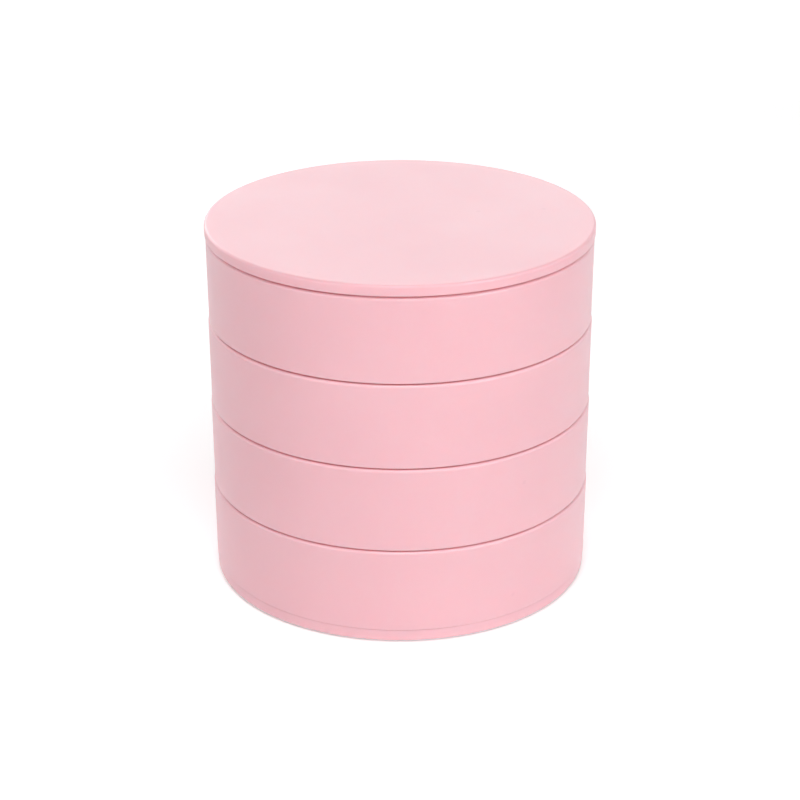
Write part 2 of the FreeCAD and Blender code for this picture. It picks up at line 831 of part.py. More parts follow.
pieces = [lid_cover(), lid_insert(), pivot_bolt()]
pieces += [ring_tray(), stud_tray(), bangle_tray(), bottom_tray()]
pieces += spacers()
pieces += dividers()
pieces += ring_rolls()
washer_bore = size("bolt_radius") + size("washer_clearance")
pieces += [
    wave_spring(),
    flat_ring("bolt_washer", washer_bore, size("washer_radius"), size("washer_thickness"), washer_level),
    base_cover(),
    cover_screws(),
]
pieces += foot_pads()
doc.recompute()

# Nothing is written unless every object is sound
for item in doc.Objects:
    if "Invalid" in item.State or "Error" in item.State:
        raise RuntimeError(f"{item.Label} failed: {item.State}")
for piece in pieces:
    if piece.Shape.isNull() or not piece.Shape.isValid():
        raise RuntimeError(f"{piece.Label} has no valid shape")

os.makedirs("parts", exist_ok=True)
for piece in pieces:
    piece.Shape.exportStep(f"parts/{piece.Label}.step")
    print(f"{piece.Label}: {len(piece.Shape.Solids)} solid, {piece.Shape.Volume:.1f} mm3")
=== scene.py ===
import bpy
import bmesh
import json
import math
from mathutils import Matrix, Vector, noise


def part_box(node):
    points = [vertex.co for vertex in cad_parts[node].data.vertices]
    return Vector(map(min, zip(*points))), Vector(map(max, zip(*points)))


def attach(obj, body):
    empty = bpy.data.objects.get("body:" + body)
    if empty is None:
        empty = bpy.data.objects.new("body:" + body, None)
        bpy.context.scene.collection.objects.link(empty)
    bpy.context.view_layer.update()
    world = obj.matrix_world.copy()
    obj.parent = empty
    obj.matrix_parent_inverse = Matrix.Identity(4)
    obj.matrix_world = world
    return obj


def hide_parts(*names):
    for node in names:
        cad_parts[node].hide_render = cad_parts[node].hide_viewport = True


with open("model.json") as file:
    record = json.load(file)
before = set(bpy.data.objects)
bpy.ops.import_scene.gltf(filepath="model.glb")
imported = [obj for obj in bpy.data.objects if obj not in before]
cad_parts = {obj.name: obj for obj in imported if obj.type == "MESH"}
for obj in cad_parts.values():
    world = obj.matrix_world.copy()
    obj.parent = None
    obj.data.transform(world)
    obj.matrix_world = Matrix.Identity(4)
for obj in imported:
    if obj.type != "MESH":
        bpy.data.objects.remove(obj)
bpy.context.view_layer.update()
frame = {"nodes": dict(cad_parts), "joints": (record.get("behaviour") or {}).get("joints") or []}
scene = bpy.context.scene
mm = 0.001
tiny = 1e-8  # in metres; what is smaller counts as nothing
pivotY = frame["joints"][0]["pos_m"][1]
print("frame loaded:", len(frame["nodes"]), "nodes")


# Small helpers for outlines

def softOutline(corners, steps=6):  # corners are (x, y, radius)
    made = []
    for i, (x, y, radius) in enumerate(corners):
        here = Vector((x, y))
        if radius == 0:
            made.append(here)
            continue
        before = Vector(corners[i - 1][:2])
        after = Vector(corners[(i + 1) % len(corners)][:2])
        back = (before - here).normalized()
        ahead = (after - here).normalized()
        half = back.angle(ahead) / 2
        centre = here + (back + ahead).normalized() * radius / math.sin(half)
        first = here + back * radius / math.tan(half) - centre
        last = here + ahead * radius / math.tan(half) - centre
        sweep = math.remainder(math.atan2(last.y, last.x) - math.atan2(first.y, first.x), 2 * math.pi)
        for k in range(steps + 1):
            made.append(centre + Matrix.Rotation(sweep * k / steps, 2) @ first)
    return made


def circlePoints(radius, centre, count, start=0.0, sweep=2 * math.pi):
    steps = count if sweep == 2 * math.pi else count + 1  # an arc keeps both its ends
    turns = [start + sweep * i / count for i in range(steps)]
    return [Vector((centre[0] + radius * math.cos(t), centre[1] + radius * math.sin(t))) for t in turns]


def fourAround(radius, first):  # angle and place of four spots on a circle, the first angle in degrees
    angles = [math.radians(first + 90 * i) for i in range(4)]
    return [(angle, (radius * math.cos(angle), radius * math.sin(angle))) for angle in angles]


def rectangle(xEnds, yEnds):
    return [(xEnds[0], yEnds[0]), (xEnds[1], yEnds[0]), (xEnds[1], yEnds[1]), (xEnds[0], yEnds[1])]


def softRectangle(xEnds, yEnds, radius):
    return softOutline([(x, y, radius) for x, y in rectangle(xEnds, yEnds)], steps=3)


def evenly(start, end, count):
    return [start + (end - start) * i / count for i in range(count + 1)]


def middleOf(node, axis):
    low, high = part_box(node)
    return (low[axis] + high[axis]) / 2


def halfChord(radius, distance):
    return math.sqrt(radius * radius - distance * distance)


# Small helpers for meshes

def newPiece(name, mesh):
    data = bpy.data.meshes.new(name)
    bmesh.ops.recalc_face_normals(mesh, faces=mesh.faces)
    mesh.to_mesh(data)
    mesh.free()
    piece = bpy.data.objects.new(name, data)
    scene.collection.objects.link(piece)
    return piece


def lathe(name, profile, centre=(0, 0), turns=192, loop=False, wobble=None):  # profile is (radius, height)
    mesh = bmesh.new()
    rings = []
    for radius, height in profile:
        if radius < tiny:
            rings.append([mesh.verts.new((centre[0], centre[1], height))])
            continue
        ring = []
        for i in range(turns):
            angle = 2 * math.pi * (i + 0.5) / turns
            reach = radius + (wobble(angle, radius, height) if wobble else 0)
            ring.append(mesh.verts.new((centre[0] + reach * math.cos(angle),
                                        centre[1] + reach * math.sin(angle), height)))
        rings.append(ring)
    pairs = list(zip(rings, rings[1:]))
    if loop:
        pairs.append((rings[-1], rings[0]))
    for lower, upper in pairs:
        for i in range(turns):
            j = (i + 1) % turns
            around = [lower[i % len(lower)], lower[j % len(lower)],
                      upper[j % len(upper)], upper[i % len(upper)]]
            corners = list(dict.fromkeys(around))  # three are left beside a ring of one point
            if len(corners) > 2:
                mesh.faces.new(corners)
    return newPiece(name, mesh)


def slab(name, outline, low, high, edge=0.0, standing=None):  # an outline drawn up from low to high
    mesh = bmesh.new()
    bottom = [mesh.verts.new((point[0], point[1], low)) for point in outline]
    top = [mesh.verts.new((point[0], point[1], high)) for point in outline]
    caps = [mesh.faces.new(bottom), mesh.faces.new(top)]
    for i in range(len(outline)):
        j = (i + 1) % len(outline)
        mesh.faces.new((bottom[i], bottom[j], top[j], top[i]))
    if edge:
        rims = [e for cap in caps for e in cap.edges]
        bmesh.ops.bevel(mesh, geom=rims, offset=edge, segments=3, profile=0.5, affect="EDGES")
    if standing:
        bmesh.ops.transform(mesh, matrix=standing, verts=mesh.verts)
    return newPiece(name, mesh)


endEdge = 0.6  # the ends of a block are rounded by this share of its upright edges


def block(xEnds, yEnds, zEnds, edge):
    return slab("tool", softRectangle(xEnds, yEnds, edge), *zEnds, edge * endEdge)


def settle(piece):  # the modifiers become the mesh
    grown = piece.evaluated_get(bpy.context.evaluated_depsgraph_get())
    data = bpy.data.meshes.new_from_object(grown)
    piece.modifiers.clear()
    old = piece.data
    piece.data = data
    bpy.data.meshes.remove(old)
    data.name = piece.name


def together(pieces):  # several loose forms as one tool
    mesh = bmesh.new()
    for piece in pieces:
        mesh.from_mesh(piece.data)
        discard(piece)
    return newPiece("tool", mesh)


def discard(piece):
    data = piece.data
    bpy.data.objects.remove(piece)
    bpy.data.meshes.remove(data)


def combine(piece, tool, how):
    step = piece.modifiers.new("combine", "BOOLEAN")
    step.operation = how
    step.solver = "EXACT"
    step.object = tool
    settle(piece)
    discard(tool)


def add(piece, tool):
    combine(piece, tool, "UNION")


def cut(piece, tool):
    combine(piece, tool, "DIFFERENCE")


def rodTool(centre, radius, low, high, turns=48):
    return lathe("tool", [(0, low), (radius, low), (radius, high), (0, high)], centre, turns)


def steppedTool(centre, lower, upper, low, step, high):  # a bore with a wider seat above it
    profile = [(0, low), (lower, low), (lower, step), (upper, step), (upper, high), (0, high)]
    return lathe("tool", profile, centre, 48)


sliver = 0.001 * mm


def withoutSlivers(piece):  # takes out edges and faces that a cut left with no length or area
    mesh = bmesh.new()
    mesh.from_mesh(piece.data)
    bmesh.ops.dissolve_degenerate(mesh, edges=mesh.edges, dist=sliver)
    mesh.to_mesh(piece.data)
    mesh.free()


def smooth(piece, sharpAngle):
    withoutSlivers(piece)
    data = piece.data
    data.polygons.foreach_set("use_smooth", [True] * len(data.polygons))
    data.set_sharp_from_angle(angle=math.radians(sharpAngle))
    weigh = piece.modifiers.new("flats", "WEIGHTED_NORMAL")
    weigh.keep_sharp = True
    settle(piece)


def dress(piece, body, material, nodes, sharpAngle=35):
    smooth(piece, sharpAngle)
    piece.data.materials.clear()
    piece.data.materials.append(material)
    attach(piece, body)
    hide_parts(*nodes)


# Finishes

def newFinish(name):
    finish = bpy.data.materials.new(name)
    finish.use_nodes = True
    finish.node_tree.nodes.clear()
    return finish


edgeTurn = (0.80, 0.99)  # how far the rounded and the plain normal agree, at an edge and off it
seamShadeDepth = (0.15, 0.60)  # open share of the space around, deep in a seam and at its mouth, for the painted seam shade


class Bench:  # the node tree of one finish, with a short way to lay nodes down and join them
    def __init__(self, name):
        self.finish = newFinish(name)
        self.tree = self.finish.node_tree
        out = self.node("ShaderNodeOutputMaterial")
        self.shader = self.node("ShaderNodeBsdfPrincipled")
        self.join(self.shader.outputs[0], out.inputs["Surface"])
        self.place = self.node("ShaderNodeTexCoord").outputs["Object"]

    def node(self, kind, **settings):
        made = self.tree.nodes.new(kind)
        for key, value in settings.items():
            setattr(made, key, value)
        return made

    def join(self, source, target):
        self.tree.links.new(source, target)

    def speckle(self, scale, detail, rough, stretch=None):
        texture = self.node("ShaderNodeTexNoise")
        texture.inputs["Scale"].default_value = scale
        texture.inputs["Detail"].default_value = detail
        texture.inputs["Roughness"].default_value = rough
        if stretch:
            mapping = self.node("ShaderNodeMapping")
            mapping.inputs["Scale"].default_value = stretch
            self.join(self.place, mapping.inputs["Vector"])
            self.join(mapping.outputs[0], texture.inputs["Vector"])
        else:
            self.join(self.place, texture.inputs["Vector"])
        return texture.outputs["Fac"]

    def range(self, source, low, high, fromLow=0.3, fromHigh=0.7):
        ranged = self.node("ShaderNodeMapRange")
        ranged.inputs["From Min"].default_value = fromLow
        ranged.inputs["From Max"].default_value = fromHigh
        ranged.inputs["To Min"].default_value = low
        ranged.inputs["To Max"].default_value = high
        self.join(source, ranged.inputs["Value"])
        return ranged.outputs["Result"]

    def mix(self, share, first, second):  # a colour mix takes its colours in 6 and 7 and gives one in 2
        mixed = self.node("ShaderNodeMix", data_type="RGBA")
        for value, target in ((share, 0), (first, 6), (second, 7)):
            if isinstance(value, tuple):
                mixed.inputs[target].default_value = (*value, 1)
            else:
                self.join(value, mixed.inputs[target])
        return mixed.outputs[2]

    def bump(self, height, strength, distance, under=None):
        bumped = self.node("ShaderNodeBump")
        bumped.inputs["Strength"].default_value = strength
        bumped.inputs["Distance"].default_value = distance
        self.join(height, bumped.inputs["Height"])
        if under:
            self.join(under, bumped.inputs["Normal"])
        return bumped.outputs[0]

    def edges(self, reach):  # how near a point lies to an edge, told by a normal rounded over that reach
        rounded = self.node("ShaderNodeBevel", samples=4)
        rounded.inputs["Radius"].default_value = reach
        turned = self.node("ShaderNodeVectorMath", operation="DOT_PRODUCT")
        self.join(rounded.outputs["Normal"], turned.inputs[0])
        self.join(self.node("ShaderNodeNewGeometry").outputs["Normal"], turned.inputs[1])
        return self.range(turned.outputs["Value"], 1.0, 0.0, *edgeTurn)

    def paintedSeamShade(self, reach):  # painted shade: how deep a point lies in a seam, where light goes on from pink to pink; there the colour is darkened to a deeper red
        hidden = self.node("ShaderNodeAmbientOcclusion", samples=4)
        hidden.inputs["Distance"].default_value = reach
        return self.range(hidden.outputs["AO"], 1.0, 0.0, *seamShadeDepth)

    def tones(self, look, patches):  # two tones in patches, and edges painted lighter: wear, and on the plastics also a painted highlight along the rounded edges
        tone = self.mix(self.range(patches, 0.0, 1.0), look["deep"], look["pale"])
        return self.mix(self.edges(look["edgeReach"]), tone, look["edge"])

    def paint(self, look, colour, polish, relief):
        self.join(colour, self.shader.inputs["Base Color"])
        self.join(self.range(polish, look["smooth"], look["rough"]), self.shader.inputs["Roughness"])
        self.join(relief, self.shader.inputs["Normal"])

    def set(self, **values):
        for key, value in values.items():
            self.shader.inputs[key.replace("_", " ")].default_value = value


def plasticFinish(name, look):
    bench = Bench(name)
    # the edges are painted lighter: partly wear, partly a painted highlight on the rounded rims
    wornAndHighlit = bench.tones(look, bench.speckle(*look["flow"]))
    dots = bench.node("ShaderNodeTexVoronoi")
    dots.inputs["Scale"].default_value = look["dotScale"]
    bench.join(bench.place, dots.inputs["Vector"])
    specks = bench.range(dots.outputs["Distance"], look["dotShade"], 0.0, *look["dotSize"])
    dotted = bench.mix(specks, wornAndHighlit, look["dot"])
    # painted shade: seams and gaps between parts darken to a deeper red
    shaded = bench.mix(bench.paintedSeamShade(look["creaseReach"]), dotted, look["crease"])
    peel = bench.bump(bench.speckle(*look["peel"]), *look["peelBump"])
    grain = bench.bump(bench.speckle(*look["grain"]), *look["grainBump"], peel)
    bench.paint(look, shaded, bench.speckle(*look["handled"]), grain)
    bench.set(Subsurface_Weight=look["glow"], Subsurface_Radius=look["glowReach"], Subsurface_Scale=mm,
              IOR=look["ior"])
    return bench.finish


def metalFinish(name, look):
    bench = Bench(name)
    marks = bench.speckle(*look["marks"], look["markStretch"])
    bench.paint(look, bench.tones(look, bench.speckle(*look["cloud"])), marks,
                bench.bump(marks, *look["markBump"]))
    bench.set(Metallic=1.0)
    return bench.finish


def velvetFinish(name, look):
    bench = Bench(name)
    nap = bench.speckle(*look["nap"], look["napStretch"])
    fibre = bench.speckle(*look["fibre"])
    tone = bench.mix(bench.range(nap, 0.0, 1.0), look["deep"], look["pale"])
    flecked = bench.mix(bench.range(fibre, 0.0, look["fleck"]), tone, look["tip"])
    lay = bench.bump(nap, *look["napBump"])
    bench.paint(look, flecked, nap, bench.bump(fibre, *look["fibreBump"], lay))
    bench.set(Sheen_Weight=look["sheen"], Sheen_Roughness=look["sheenRough"], Sheen_Tint=(*look["tip"], 1))
    return bench.finish


def rubberFinish(name, look):
    bench = Bench(name)
    dust = bench.speckle(*look["dust"])
    grain = bench.bump(bench.speckle(*look["grain"]), *look["grainBump"])
    bench.paint(look, bench.tones(look, dust), dust, grain)
    return bench.finish


# Speckles are given as (scale, detail, roughness) and bumps as (strength, depth)

pinkLook = {
    "deep": (0.905, 0.498, 0.552), "pale": (0.940, 0.538, 0.590), "flow": (14.0, 3.0, 0.55),
    # the edge colour is partly wear and partly a painted highlight on the rounded edges
    "edge": (0.950, 0.620, 0.655), "edgeReach": 0.35 * mm,
    # the seam colour is painted shade, a deeper red in the gaps between parts
    "crease": (0.80, 0.24, 0.26), "creaseReach": 0.7 * mm,
    "dot": (0.62, 0.30, 0.34), "dotScale": 55.0, "dotShade": 0.14, "dotSize": (0.02, 0.05),
    "smooth": 0.30, "rough": 0.40, "handled": (35.0, 4.0, 0.6),
    "peel": (260.0, 2.0, 0.5), "peelBump": (0.10, 0.4 * mm),
    "grain": (2600.0, 3.0, 0.6), "grainBump": (0.16, 0.06 * mm),
    "glow": 0.35, "glowReach": (3.0, 0.9, 0.7), "ior": 1.54,
}
nylonLook = {
    "deep": (0.79, 0.77, 0.72), "pale": (0.84, 0.83, 0.78), "flow": (60.0, 3.0, 0.55),
    # the edge colour is partly wear and partly a painted highlight on the rounded edges
    "edge": (0.90, 0.89, 0.86), "edgeReach": 0.15 * mm,
    # the seam colour is painted shade in the gaps between parts
    "crease": (0.62, 0.58, 0.50), "creaseReach": 0.3 * mm,
    "dot": (0.60, 0.57, 0.50), "dotScale": 90.0, "dotShade": 0.15, "dotSize": (0.02, 0.05),
    "smooth": 0.38, "rough": 0.50, "handled": (120.0, 4.0, 0.6),
    "peel": (500.0, 2.0, 0.5), "peelBump": (0.12, 0.4 * mm),
    "grain": (4000.0, 3.0, 0.6), "grainBump": (0.15, 0.06 * mm),
    "glow": 0.25, "glowReach": (1.2, 1.1, 0.9), "ior": 1.53,
}
steelLook = {
    "deep": (0.50, 0.50, 0.51), "pale": (0.60, 0.60, 0.60), "cloud": (300.0, 4.0, 0.6),
    "edge": (0.72, 0.72, 0.72), "edgeReach": 0.12 * mm, "smooth": 0.24, "rough": 0.42,
    "marks": (700.0, 3.0, 0.7), "markStretch": (1, 1, 6), "markBump": (0.35, 0.03 * mm),
}
brassLook = {
    "deep": (0.66, 0.46, 0.17), "pale": (0.76, 0.56, 0.24), "cloud": (250.0, 4.0, 0.6),
    "edge": (0.86, 0.68, 0.36), "edgeReach": 0.12 * mm, "smooth": 0.22, "rough": 0.38,
    "marks": (900.0, 3.0, 0.7), "markStretch": (1, 1, 8), "markBump": (0.4, 0.03 * mm),
}
velvetLook = {
    "deep": (0.52, 0.20, 0.25), "pale": (0.68, 0.31, 0.37), "tip": (0.86, 0.55, 0.60), "fleck": 0.5,
    "nap": (160.0, 5.0, 0.65), "napStretch": (0.4, 1, 1), "napBump": (0.5, 0.4 * mm),
    "fibre": (3200.0, 2.0, 0.7), "fibreBump": (0.6, 0.2 * mm),
    "smooth": 0.80, "rough": 0.95, "sheen": 0.7, "sheenRough": 0.35,
}
rubberLook = {
    "deep": (0.55, 0.53, 0.52), "pale": (0.64, 0.62, 0.61), "dust": (220.0, 4.0, 0.65),
    "edge": (0.70, 0.68, 0.67), "edgeReach": 0.25 * mm, "smooth": 0.70, "rough": 0.92,
    "grain": (2400.0, 3.0, 0.6), "grainBump": (0.5, 0.08 * mm),
}
pinkPlastic = plasticFinish("satinPinkPlastic", pinkLook)
slipNylon = plasticFinish("slipNylon", nylonLook)
zincSteel = metalFinish("zincPlatedSteel", steelLook)
turnedBrass = metalFinish("turnedBrass", brassLook)
rollVelvet = velvetFinish("rollVelvet", velvetLook)
padRubber = rubberFinish("padRubber", rubberLook)
print("finishes ready")


# Trays: a turned wall and floor, with guides, pillar and moulding marks

tray = {
    "wall": 2.0 * mm, "floor": 1.8 * mm, "underRecess": 0.8 * mm, "footLand": 2.4 * mm, "draft": 0.2 * mm,
    "rimRound": 1.0 * mm, "innerRound": 0.6 * mm, "footRound": 0.12 * mm, "floorRound": 1.9 * mm,
    "recessRound": 0.25 * mm,
    "pillar": 6.5 * mm, "pillarEdge": 0.3 * mm, "pillarSteps": 32, "bore": 2.58 * mm, "seat": 4.8 * mm,
    "seatDepth": 7.9 * mm, "embed": 0.5 * mm,
    "guideWidth": 1.2 * mm, "guideDepth": 1.8 * mm, "guideHeight": 14.0 * mm, "guideRound": 0.3 * mm,
    "slotHalf": 0.8 * mm, "pinMark": 2.4 * mm, "pinMarkDepth": 0.12 * mm, "pinCircle": 30.0 * mm,
    "pinTurn": 21.0, "gate": 0.9 * mm, "gateHeight": 0.25 * mm, "gateRound": 0.08 * mm,
    "rings": (6.0 * mm, 24.0 * mm, 37.0 * mm),
}
baseTray = {
    "hollow": 5.6 * mm, "skirt": 2.2 * mm, "boss": 3.2 * mm, "pilot": 1.33 * mm, "pilotDepth": 5.6 * mm,
    "pilotTurns": 32, "screwCircle": 33.0 * mm, "screwTurn": 45, "web": 0.6 * mm, "webHeight": 3.8 * mm,
    "pinCircle": 18.0 * mm,
}
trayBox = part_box("tray_1_shell")
trayTop = trayBox[1].x
trayFoot = trayTop - tray["draft"]
trayHeight = trayBox[1].z - trayBox[0].z
innerFloor = trayFoot - tray["wall"]
innerRim = trayTop - tray["wall"]
pillarFront = pivotY - tray["pillar"]
guideReach = tray["slotHalf"] + tray["guideWidth"]
screwSpots = fourAround(baseTray["screwCircle"], baseTray["screwTurn"])


def underside(level):  # the flat ceiling under a moulding, with the nub of its gate in the middle
    nub = level - tray["gateHeight"]
    gate = [(0, nub, 0), (tray["gate"], nub, tray["gateRound"]), (tray["gate"], level, tray["gateRound"])]
    return gate + [(ring, level, 0) for ring in tray["rings"]]


def trayBowl(name, foot, hollow, hollowRadius):
    floorTop = hollow + tray["floor"]
    corners = underside(hollow) + [
        (hollowRadius, hollow, tray["recessRound"]), (hollowRadius, 0, tray["footRound"]),
        (trayFoot, 0, tray["footRound"]), (trayTop, trayHeight, tray["rimRound"]),
        (innerRim, trayHeight, tray["innerRound"]), (innerFloor, floorTop, tray["floorRound"]),
    ]
    corners += [(ring, floorTop, 0) for ring in reversed(tray["rings"])] + [(0, floorTop, 0)]
    outline = softOutline(corners)
    return lathe(name, [(point.x, point.y + foot) for point in outline])


def pillarForm(low, high):
    back = halfChord(innerFloor, tray["pillar"]) + tray["embed"]
    outline = circlePoints(tray["pillar"], (0, pivotY), tray["pillarSteps"], math.pi, math.pi)
    outline += [Vector((tray["pillar"], back)), Vector((-tray["pillar"], back))]
    return slab("tool", outline, low, high, tray["pillarEdge"])


def guidePair(lengthways, across, slotEnd, root, floorTop):
    run = sorted((slotEnd, root))
    rise = (floorTop - tray["embed"], floorTop + tray["guideHeight"])
    made = []
    for side in (-1, 1):
        width = sorted((across + tray["slotHalf"] * side, across + guideReach * side))
        ends = (run, width) if lengthways == "x" else (width, run)
        made.append(block(*ends, rise, tray["guideRound"]))
    return made


def wallGuides(lengthways, across, sides, floorTop):
    wall = halfChord(innerFloor, abs(across) + guideReach)
    made = []
    for side in sides:
        slotEnd, root = (wall - tray["guideDepth"]) * side, (wall + tray["embed"]) * side
        made += guidePair(lengthways, across, slotEnd, root, floorTop)
    return made


def pinMarks(under, radius):  # the round marks that ejector pins leave in the ceiling below a floor
    low, depth = under - mm, mm + tray["pinMarkDepth"]
    return together([rodTool(spot, tray["pinMark"], low, low + depth)
                     for angle, spot in fourAround(radius, tray["pinTurn"])])


def swivelTray(node, body, guides, seat=False):
    low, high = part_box(node)
    under = low.z + tray["underRecess"]
    piece = trayBowl(node + "_moulding", low.z, tray["underRecess"], trayFoot - tray["footLand"])
    cut(piece, pinMarks(under, tray["pinCircle"]))
    add(piece, pillarForm(low.z, high.z))
    for guide in guides(under + tray["floor"]):
        add(piece, guide)
    if seat:
        seatFoot = high.z - tray["seatDepth"]
        cut(piece, steppedTool((0, pivotY), tray["bore"], tray["seat"], low.z - mm, seatFoot, high.z + mm))
    else:
        cut(piece, rodTool((0, pivotY), tray["bore"], low.z - mm, high.z + mm))
    dress(piece, body, pinkPlastic, [node])
    print(node, "moulded")


def ringGuides(floorTop):
    across = middleOf("ring_tray_wide_divider", 1)
    behind = guidePair("y", 0.0, pillarFront - tray["guideDepth"], pillarFront + tray["embed"], floorTop)
    return wallGuides("x", across, (-1, 1), floorTop) + behind


def studGuides(floorTop):
    made = wallGuides("x", middleOf("stud_tray_wide_divider", 1), (-1, 1), floorTop)
    side = middleOf("stud_tray_right_divider", 0)
    for across in (-side, side):
        made += wallGuides("y", across, (-1, 1), floorTop)
    return made


def bangleGuides(floorTop):
    across = middleOf("bangle_tray_wide_divider", 1)
    return wallGuides("x", across, (-1, 1), floorTop) + wallGuides("y", 0.0, (-1,), floorTop)


def bottomTray():
    node = "bottom_tray"
    bossFoot, top = (corner.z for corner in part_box(node))
    foot = top - trayHeight
    under = foot + baseTray["hollow"]
    root = under + tray["embed"]
    skirtInside = trayFoot - baseTray["skirt"]
    piece = trayBowl(node + "_moulding", foot, baseTray["hollow"], skirtInside)
    cut(piece, pinMarks(under, baseTray["pinCircle"]))
    webEnds = (baseTray["screwCircle"], skirtInside + tray["embed"])
    web = rectangle(webEnds, (-baseTray["web"], baseTray["web"]))
    bosses, pilots = [], []
    pilotTop = bossFoot + baseTray["pilotDepth"]
    for angle, spot in screwSpots:
        turned = Matrix.Rotation(angle, 4, "Z")
        add(piece, slab("tool", web, under - baseTray["webHeight"], root, standing=turned))
        bosses.append(rodTool(spot, baseTray["boss"], bossFoot, root))
        pilots.append(rodTool(spot, baseTray["pilot"], bossFoot - mm, pilotTop, baseTray["pilotTurns"]))
    add(piece, together(bosses))
    cut(piece, together(pilots))
    add(piece, pillarForm(under, top))
    cut(piece, rodTool((0, pivotY), tray["bore"], foot, top + mm))
    dress(piece, "base", pinkPlastic, [node])
    print(node, "moulded")


swivelTray("tray_1_shell", "tray_1", ringGuides, seat=True)
swivelTray("tray_2_shell", "tray_2", studGuides)
swivelTray("tray_3_shell", "tray_3", bangleGuides)
bottomTray()


# Lid: a flat disc with a rounded edge, cored out below, with a boss for the insert

lid = {
    "edgeRound": 0.8 * mm, "lowerRound": 0.25 * mm, "rimLand": 4.5 * mm, "recess": 0.9 * mm,
    "recessRound": 0.5 * mm, "turns": 256, "pivotLand": 7.0 * mm, "landTurns": 64, "boss": 4.5 * mm,
    "bossEdge": 0.2 * mm, "bossSteps": 48, "seat": 3.22 * mm, "seatDepth": 7.0 * mm, "pinCircle": 34.0 * mm,
}


def lidMoulding():
    low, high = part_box("lid_cover")
    radius, top = high.x, high.z
    ringFoot, ringTop = (corner.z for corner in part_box("spacer_1"))
    foot = trayBox[1].z + ringTop - ringFoot
    core = radius - lid["rimLand"]
    ceiling = foot + lid["recess"]
    corners = underside(ceiling) + [
        (core, ceiling, lid["recessRound"]), (core, foot, lid["lowerRound"]),
        (radius, foot, lid["lowerRound"]), (radius, top, lid["edgeRound"]), (0, top, 0),
    ]
    outline = softOutline(corners, steps=8)
    piece = lathe("lid_moulding", [(point.x, point.y) for point in outline], turns=lid["turns"])
    cut(piece, pinMarks(ceiling, lid["pinCircle"]))
    root = ceiling + tray["embed"]
    add(piece, rodTool((0, pivotY), lid["pivotLand"], foot, root, lid["landTurns"]))
    bossOutline = circlePoints(lid["boss"], (0, pivotY), lid["bossSteps"])
    add(piece, slab("tool", bossOutline, low.z, root, lid["bossEdge"]))
    cut(piece, rodTool((0, pivotY), lid["seat"], low.z - mm, low.z + lid["seatDepth"]))
    dress(piece, "lid", pinkPlastic, ["lid_cover"])
    print("lid moulded")


lidMoulding()


# Base cover and feet

cover = {
    "plate": 2.0 * mm, "edgeRound": 0.5 * mm, "seamRound": 0.4 * mm, "spigotHeight": 1.6 * mm,
    "spigotWall": 1.5 * mm, "spigotGap": 0.2 * mm, "spigotRoot": 0.15 * mm, "spigotRound": 0.3 * mm,
    "hole": 1.45 * mm, "sink": 2.65 * mm, "sinkDepth": 1.2 * mm, "holeTurns": 48,
    "padSeat": 4.65 * mm, "padRecess": 0.8 * mm, "headRoom": 5.35 * mm,
}


def padSpots():
    for number in range(1, 5):
        node = f"foot_pad_{number}"
        low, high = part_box(node)
        yield node, (low + high) / 2


def baseCover():
    low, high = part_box("base_cover")
    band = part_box("bottom_tray")[1].z - trayHeight - low.z
    spigot = trayFoot - baseTray["skirt"] - cover["spigotGap"]
    inside, spigotTop, soft = spigot - cover["spigotWall"], band + cover["spigotHeight"], cover["spigotRound"]
    corners = [
        (0, 0, 0), (high.x, 0, cover["edgeRound"]), (high.x, band, cover["seamRound"]),
        (spigot, band, cover["spigotRoot"]), (spigot, spigotTop, soft), (inside, spigotTop, soft),
        (inside, cover["plate"], soft), (0, cover["plate"], 0),
    ]
    outline = softOutline(corners)
    piece = lathe("base_cover_moulding", [(point.x, point.y + low.z) for point in outline])
    profile = [(0, -mm), (cover["sink"], -mm), (cover["sink"], 0), (cover["hole"], cover["sinkDepth"]),
               (cover["hole"], cover["plate"] + mm), (0, cover["plate"] + mm)]
    profile = [(reach, height + low.z) for reach, height in profile]
    holes = [lathe("tool", profile, spot, cover["holeTurns"]) for angle, spot in screwSpots]
    for node, middle in padSpots():
        holes.append(rodTool((middle.x, middle.y), cover["padSeat"], low.z - mm, low.z + cover["padRecess"]))
    holes.append(rodTool((0, pivotY), cover["headRoom"], low.z + cover["plate"], high.z + mm))
    cut(piece, together(holes))
    dress(piece, "base", pinkPlastic, ["base_cover"])


padForm = {"edge": 0.3 * mm, "grooves": (1.2 * mm, 2.4 * mm), "grooveWidth": 0.45 * mm,
           "grooveDepth": 0.18 * mm, "slope": 0.1 * mm, "turns": 72}


def footPads():
    for node, middle in padSpots():
        low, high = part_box(node)
        radius = high.x - middle.x
        corners = [(0, low.z, 0)]
        for groove in padForm["grooves"]:
            inner, outer = groove, groove + padForm["grooveWidth"]
            deep = low.z + padForm["grooveDepth"]
            corners += [(inner, low.z, 0), (inner + padForm["slope"], deep, 0),
                        (outer - padForm["slope"], deep, 0), (outer, low.z, 0)]
        corners += [(radius, low.z, padForm["edge"]), (radius, high.z, padForm["edge"] / 2), (0, high.z, 0)]
        outline = softOutline(corners, steps=4)
        profile = [(point.x, point.y) for point in outline]
        piece = lathe(node + "_moulding", profile, (middle.x, middle.y), padForm["turns"])
        dress(piece, "base", padRubber, [node])


baseCover()
footPads()
print("base closed")


# Screws, bolt, insert, washers and slip rings

def threadWave(height, angle, pitch):  # 0 in the root, 1 on the crest
    share = (height / pitch - angle / (2 * math.pi)) % 1.0
    return 1 - abs(2 * share - 1)


screw = {"shank": 1.3 * mm, "head": 2.5 * mm, "headDepth": 1.2 * mm, "headEdge": 0.1 * mm, "pitch": 0.8 * mm,
         "thread": 0.3 * mm, "tip": 0.12 * mm, "tipDepth": 0.1 * mm, "slotLength": 1.5 * mm,
         "slotWidth": 0.28 * mm, "slotDepth": 0.8 * mm, "slotTurn": 0.3, "rows": 56, "turns": 48}


